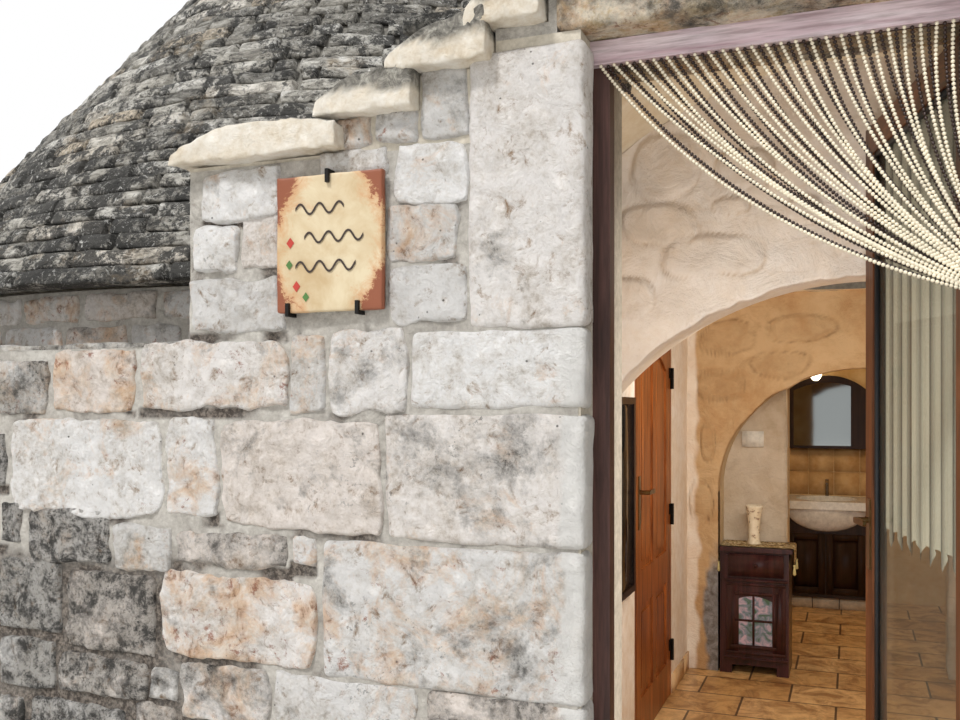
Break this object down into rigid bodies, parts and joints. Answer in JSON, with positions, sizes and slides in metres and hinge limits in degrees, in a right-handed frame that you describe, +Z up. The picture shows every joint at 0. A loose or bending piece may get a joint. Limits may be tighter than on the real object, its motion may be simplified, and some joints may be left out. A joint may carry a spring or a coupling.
{
  "type": "trullo house",
  "caption": "Dry-stone trullo house with a large and a small cone roof, a gabled entrance, a glazed door, an inner panelled door and arched rooms.",
  "frame": {"origin": "middle of the plan box, on the ground", "axes": "+Z up, +X to the right along the front, +Y from the front face into the house"},
  "size_m": [7.2, 6.36, 5.7727],
  "materials": {
    "rubble_stone": "rough dry-laid limestone with pale mortar",
    "roof_stone": "grey weathered limestone slabs",
    "dressed_stone": "rough-dressed limestone",
    "plaster": "limewashed plaster over stone",
    "floor_stone": "honed limestone tiles",
    "pinnacle_plaster": "limewashed plaster",
    "frame_wood": "painted softwood",
    "door_wood": "stained hardwood",
    "dark_wood": "dark stained wood",
    "clear_glass": "clear",
    "lace": "white net",
    "bead_wood": "turned beads",
    "brass_metal": "worn lacquered",
    "black_iron": "forged",
    "tablet": "glazed cream stone",
    "mirror_face": "silvered glass",
    "basin_ceramic": "glossy white",
    "tap_chrome": "polished"
  },
  "bodies": {
    "house": {"low_front_wall": "rubble_stone", "low_left_wall": "rubble_stone", "low_back_wall": "rubble_stone", "drum_left": "rubble_stone", "drum_right": "rubble_stone", "large_cone_left": "roof_stone", "large_cone_right": "roof_stone", "large_eaves": "roof_stone", "large_pinnacle": "pinnacle_plaster", "entrance_vault": "plaster", "small_cone_left": "roof_stone", "small_cone_right": "roof_stone", "back_vault": "roof_stone", "small_eaves": "roof_stone", "small_pinnacle": "pinnacle_plaster", "gable_pier_left": "rubble_stone", "gable_pier_right": "rubble_stone", "door_lintel": "dressed_stone", "gable_top": "rubble_stone", "coping_left": "dressed_stone", "coping_right": "dressed_stone", "coping_apex": "dressed_stone", "wing_left_wall": "rubble_stone", "partition_wall": "rubble_stone", "partition_lintel": "rubble_stone", "wing_right_wall": "rubble_stone", "wing_back_wall": "rubble_stone", "entrance_arch": "plaster", "alcove_arch": "plaster", "alcove_infill": "plaster", "square_room_floor": "floor_stone", "wing_floor": "floor_stone", "threshold": "dressed_stone", "door_frame": "frame_wood", "frame_hinges": "black_iron", "inner_frame": "door_wood", "inner_frame_hinges": "black_iron", "curtain_rail": "frame_wood", "bead_strings": "bead_wood", "bead_tails": "bead_wood", "curtain_tie": "black_iron", "plaque": "tablet", "plaque_pegs": "black_iron", "wall_mirror": "dark_wood", "cabinet": "dark_wood", "vanity": "dark_wood", "wash_basin": "basin_ceramic", "tap": "tap_chrome", "mirror_cabinet": "dark_wood"},
    "door_leaf": {"leaf_stiles": "door_wood", "leaf_rails": "door_wood", "leaf_glass": "clear_glass", "leaf_handles": "brass_metal", "leaf_hinges": "black_iron", "leaf_lace": "lace"},
    "inner_door": {"inner_leaf": "door_wood", "inner_handle": "brass_metal", "inner_hinges": "black_iron"}
  },
  "joints": [
    {"name": "entrance_hinge", "type": "hinge", "parent": "house", "child": "door_leaf", "pos_m": [2.34, -2.9455, 1.2], "axis": [0, 0, -1], "range_deg": [-76, 10]},
    {"name": "inner_hinge", "type": "hinge", "parent": "house", "child": "inner_door", "pos_m": [1.2295, -0.75, 1], "axis": [0, 0, 1], "range_deg": [0, 95]}
  ]
}
